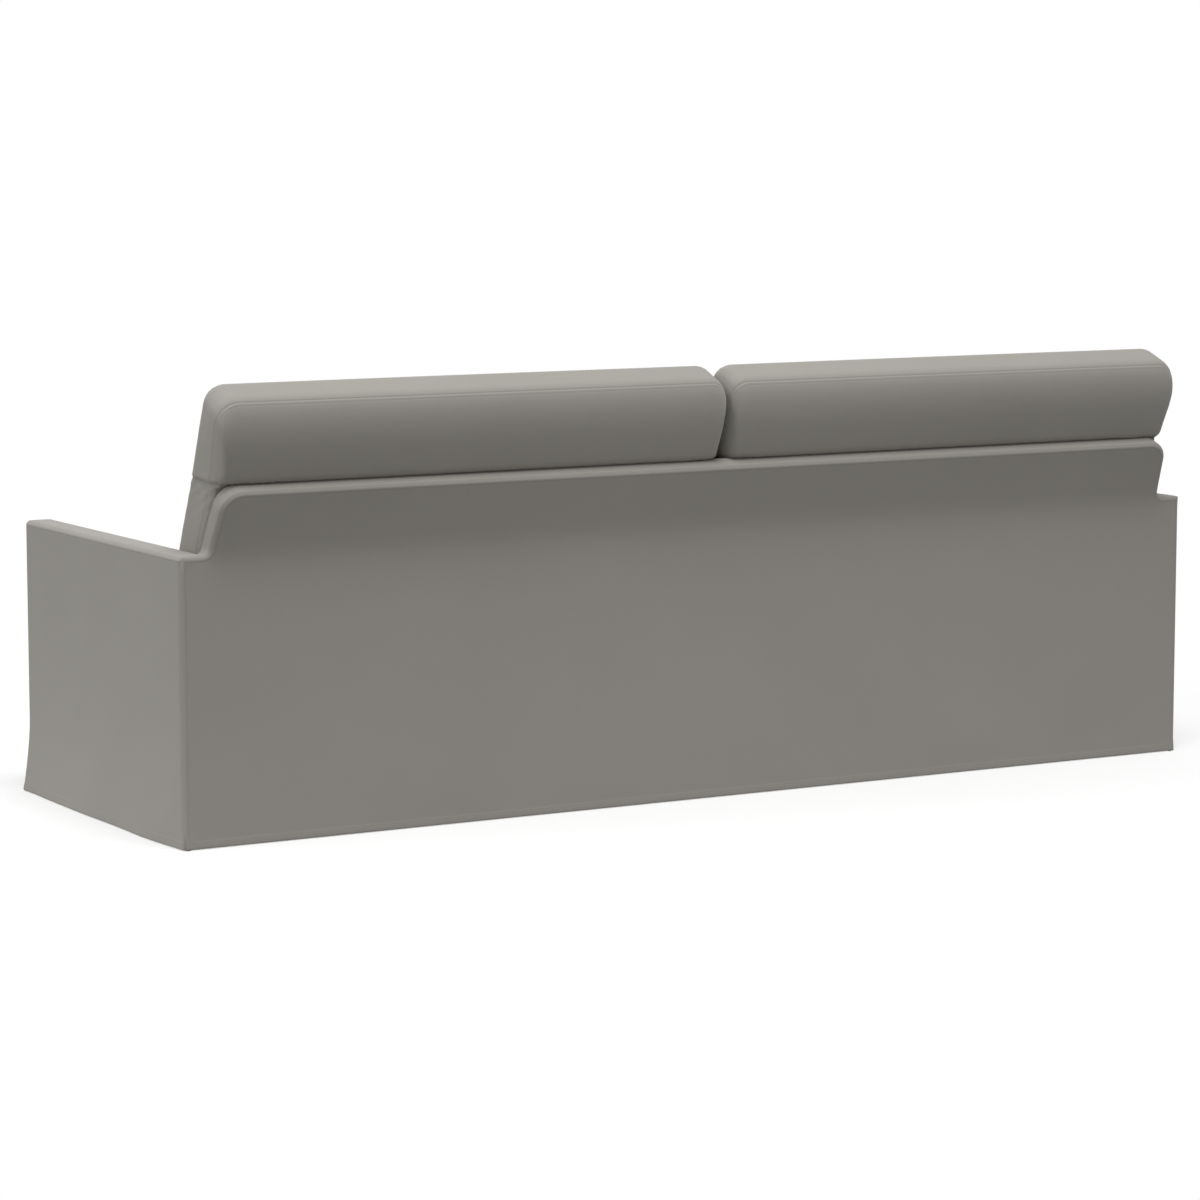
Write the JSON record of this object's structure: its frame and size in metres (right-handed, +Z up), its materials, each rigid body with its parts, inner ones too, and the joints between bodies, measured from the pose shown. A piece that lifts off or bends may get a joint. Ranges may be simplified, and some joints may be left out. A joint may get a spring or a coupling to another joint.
{
  "type": "three-seater sofa",
  "caption": "Long low sofa with slim slab arms, a leaning back, loose seat and back cushions, and a plain slipcover whose skirt hangs to the floor.",
  "frame": {"origin": "on the floor, under the middle of the sofa's box", "axes": "+X to the sitter's left along the seat, -Y to the front, +Z up"},
  "size_m": [2.4236, 0.8762, 0.8962],
  "materials": {
    "slipcover_cloth": "matte",
    "cushion_cloth": "matte",
    "seat_foam": "matte",
    "cushion_filling": "matte",
    "pad_foam": "matte",
    "wadding": "matte",
    "felt": "matte",
    "deck_lining": "matte",
    "dust_lining": "matte",
    "webbing": "matte",
    "zip_tape": "matte",
    "zip_metal": "satin",
    "frame_timber": "matte",
    "plywood": "matte",
    "hardboard": "matte",
    "leg_wood": "satin",
    "glide_plastic": "matte",
    "spring_steel": "satin",
    "zinc_steel": "satin"
  },
  "bodies": {
    "frame": {"arm_bolt_washers": "zinc_steel", "arm_bolts": "zinc_steel", "arm_insert_nuts": "zinc_steel", "back_lower_rail": "frame_timber", "back_pad": "pad_foam", "back_ribs": "plywood", "back_top_rail": "frame_timber", "back_webbing": "webbing", "centre_beam": "frame_timber", "centre_legs": "leg_wood", "corner_blocks": "frame_timber", "corner_legs": "leg_wood", "cover_back": "slipcover_cloth", "cover_front": "slipcover_cloth", "cover_left_arm": "slipcover_cloth", "cover_right_arm": "slipcover_cloth", "deck_cloth": "deck_lining", "dust_cloth": "dust_lining", "front_pad": "pad_foam", "front_rail": "frame_timber", "left_arm_bottom_rail": "frame_timber", "left_arm_pad": "pad_foam", "left_arm_panels": "hardboard", "left_arm_posts": "frame_timber", "left_arm_top_rail": "frame_timber", "left_side_rail": "frame_timber", "leg_glides": "glide_plastic", "leg_studs": "zinc_steel", "rear_batten": "frame_timber", "rear_rail": "frame_timber", "rear_wadding": "wadding", "right_arm_bottom_rail": "frame_timber", "right_arm_pad": "pad_foam", "right_arm_panels": "hardboard", "right_arm_posts": "frame_timber", "right_arm_top_rail": "frame_timber", "right_side_rail": "frame_timber", "seat_felt": "felt", "seat_springs": "spring_steel", "spring_clips": "spring_steel", "spring_rail": "frame_timber"},
    "seat_cushion_left": {"seat_cushion_left_cover": "cushion_cloth", "seat_cushion_left_core": "seat_foam", "seat_cushion_left_zip": "zip_tape"},
    "back_cushion_left": {"back_cushion_left_cover": "cushion_cloth", "back_cushion_left_filling": "cushion_filling", "back_cushion_left_zip": "zip_tape"},
    "seat_zip_slider_left": {"seat_cushion_left_zip_slider": "zip_metal"},
    "back_zip_slider_left": {"back_cushion_left_zip_slider": "zip_metal"},
    "seat_cushion_right": {"seat_cushion_right_cover": "cushion_cloth", "seat_cushion_right_core": "seat_foam", "seat_cushion_right_zip": "zip_tape"},
    "back_cushion_right": {"back_cushion_right_cover": "cushion_cloth", "back_cushion_right_filling": "cushion_filling", "back_cushion_right_zip": "zip_tape"},
    "seat_zip_slider_right": {"seat_cushion_right_zip_slider": "zip_metal"},
    "back_zip_slider_right": {"back_cushion_right_zip_slider": "zip_metal"}
  },
  "joints": [
    {"name": "seat_cushion_left_pull", "type": "slide", "parent": "frame", "child": "seat_cushion_left", "axis": [0, -1, 0], "range_m": [0, 0.62]},
    {"name": "back_cushion_left_lift", "type": "slide", "parent": "frame", "child": "back_cushion_left", "axis": [0, 0.3827, 0.9239], "range_m": [0, 0.45]},
    {"name": "seat_zip_left_slide", "type": "slide", "parent": "seat_cushion_left", "child": "seat_zip_slider_left", "axis": [-1, 0, 0], "range_m": [0, 0.87]},
    {"name": "back_zip_left_slide", "type": "slide", "parent": "back_cushion_left", "child": "back_zip_slider_left", "axis": [-1, 0, 0], "range_m": [0, 0.87]},
    {"name": "seat_cushion_right_pull", "type": "slide", "parent": "frame", "child": "seat_cushion_right", "axis": [0, -1, 0], "range_m": [0, 0.62]},
    {"name": "back_cushion_right_lift", "type": "slide", "parent": "frame", "child": "back_cushion_right", "axis": [0, 0.3827, 0.9239], "range_m": [0, 0.45]},
    {"name": "seat_zip_right_slide", "type": "slide", "parent": "seat_cushion_right", "child": "seat_zip_slider_right", "axis": [1, 0, 0], "range_m": [0, 0.87]},
    {"name": "back_zip_right_slide", "type": "slide", "parent": "back_cushion_right", "child": "back_zip_slider_right", "axis": [1, 0, 0], "range_m": [0, 0.87]}
  ]
}
